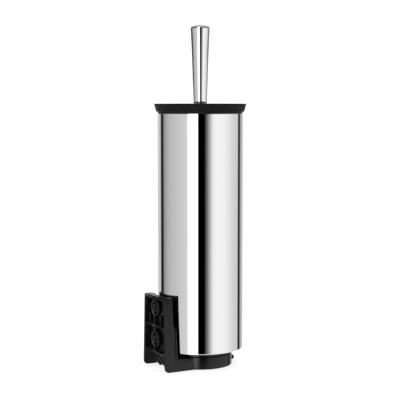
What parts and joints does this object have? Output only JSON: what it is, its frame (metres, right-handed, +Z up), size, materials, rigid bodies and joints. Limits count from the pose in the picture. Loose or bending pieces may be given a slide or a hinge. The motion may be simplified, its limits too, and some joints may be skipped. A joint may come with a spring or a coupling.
{
  "type": "toilet brush holder",
  "caption": "Tall polished tube holder with a lidded toilet brush and an inner bucket, standing in the round cup of a black wall bracket with a slide lock.",
  "frame": {"origin": "on the tube's axis, at the flat underside of the bracket's cup, which stands on the floor", "axes": "+Z up along the tube's axis; +Y towards the wall, out of the bracket's back; -Y to the room, where the lock bolt is"},
  "size_m": [0.0974, 0.1035, 0.3588],
  "materials": {
    "black_moulding": "moulded ABS, fine satin",
    "black_nylon": "moulded nylon",
    "polished_steel": "mirror polished stainless steel",
    "bucket_plastic": "moulded polypropylene",
    "lid_plastic": "fine matt moulded ABS",
    "bush_plastic": "acetal",
    "clip_rubber": "firm rubber",
    "chrome_plate": "bright chrome plate",
    "satin_steel": "drawn stainless rod",
    "head_plastic": "moulded polypropylene",
    "brass": "turned brass",
    "bristle_nylon": "nylon filament"
  },
  "bodies": {
    "bracket": {"wall_bracket": "black_moulding"},
    "lock": {"lock_bolt": "black_nylon"},
    "holder": {"outer_tube": "polished_steel", "tube_base": "black_moulding"},
    "bucket": {"inner_bucket": "bucket_plastic"},
    "lid": {"lid": "lid_plastic", "lid_bush": "bush_plastic"},
    "brush": {"lid_clip": "clip_rubber", "handle": "chrome_plate", "handle_cap": "chrome_plate", "handle_core": "black_moulding", "shaft": "satin_steel", "brush_head": "head_plastic", "thread_insert": "brass", "bristles": "bristle_nylon"}
  },
  "joints": [
    {"name": "lock_slide", "type": "slide", "parent": "bracket", "child": "lock", "axis": [0, 1, 0], "range_m": [0, 0.003]},
    {"name": "holder_lift", "type": "slide", "parent": "bracket", "child": "holder", "axis": [0, 0, 1], "range_m": [0, 0.06]},
    {"name": "bucket_lift", "type": "slide", "parent": "holder", "child": "bucket", "axis": [0, 0, 1], "range_m": [0, 0.255]},
    {"name": "brush_lift", "type": "slide", "parent": "bucket", "child": "lid", "axis": [0, 0, 1], "range_m": [0, 0.26]},
    {"name": "brush_turn", "type": "hinge", "parent": "lid", "child": "brush", "pos_m": [0, 0, 0.27], "axis": [0, 0, 1], "continuous": true}
  ]
}
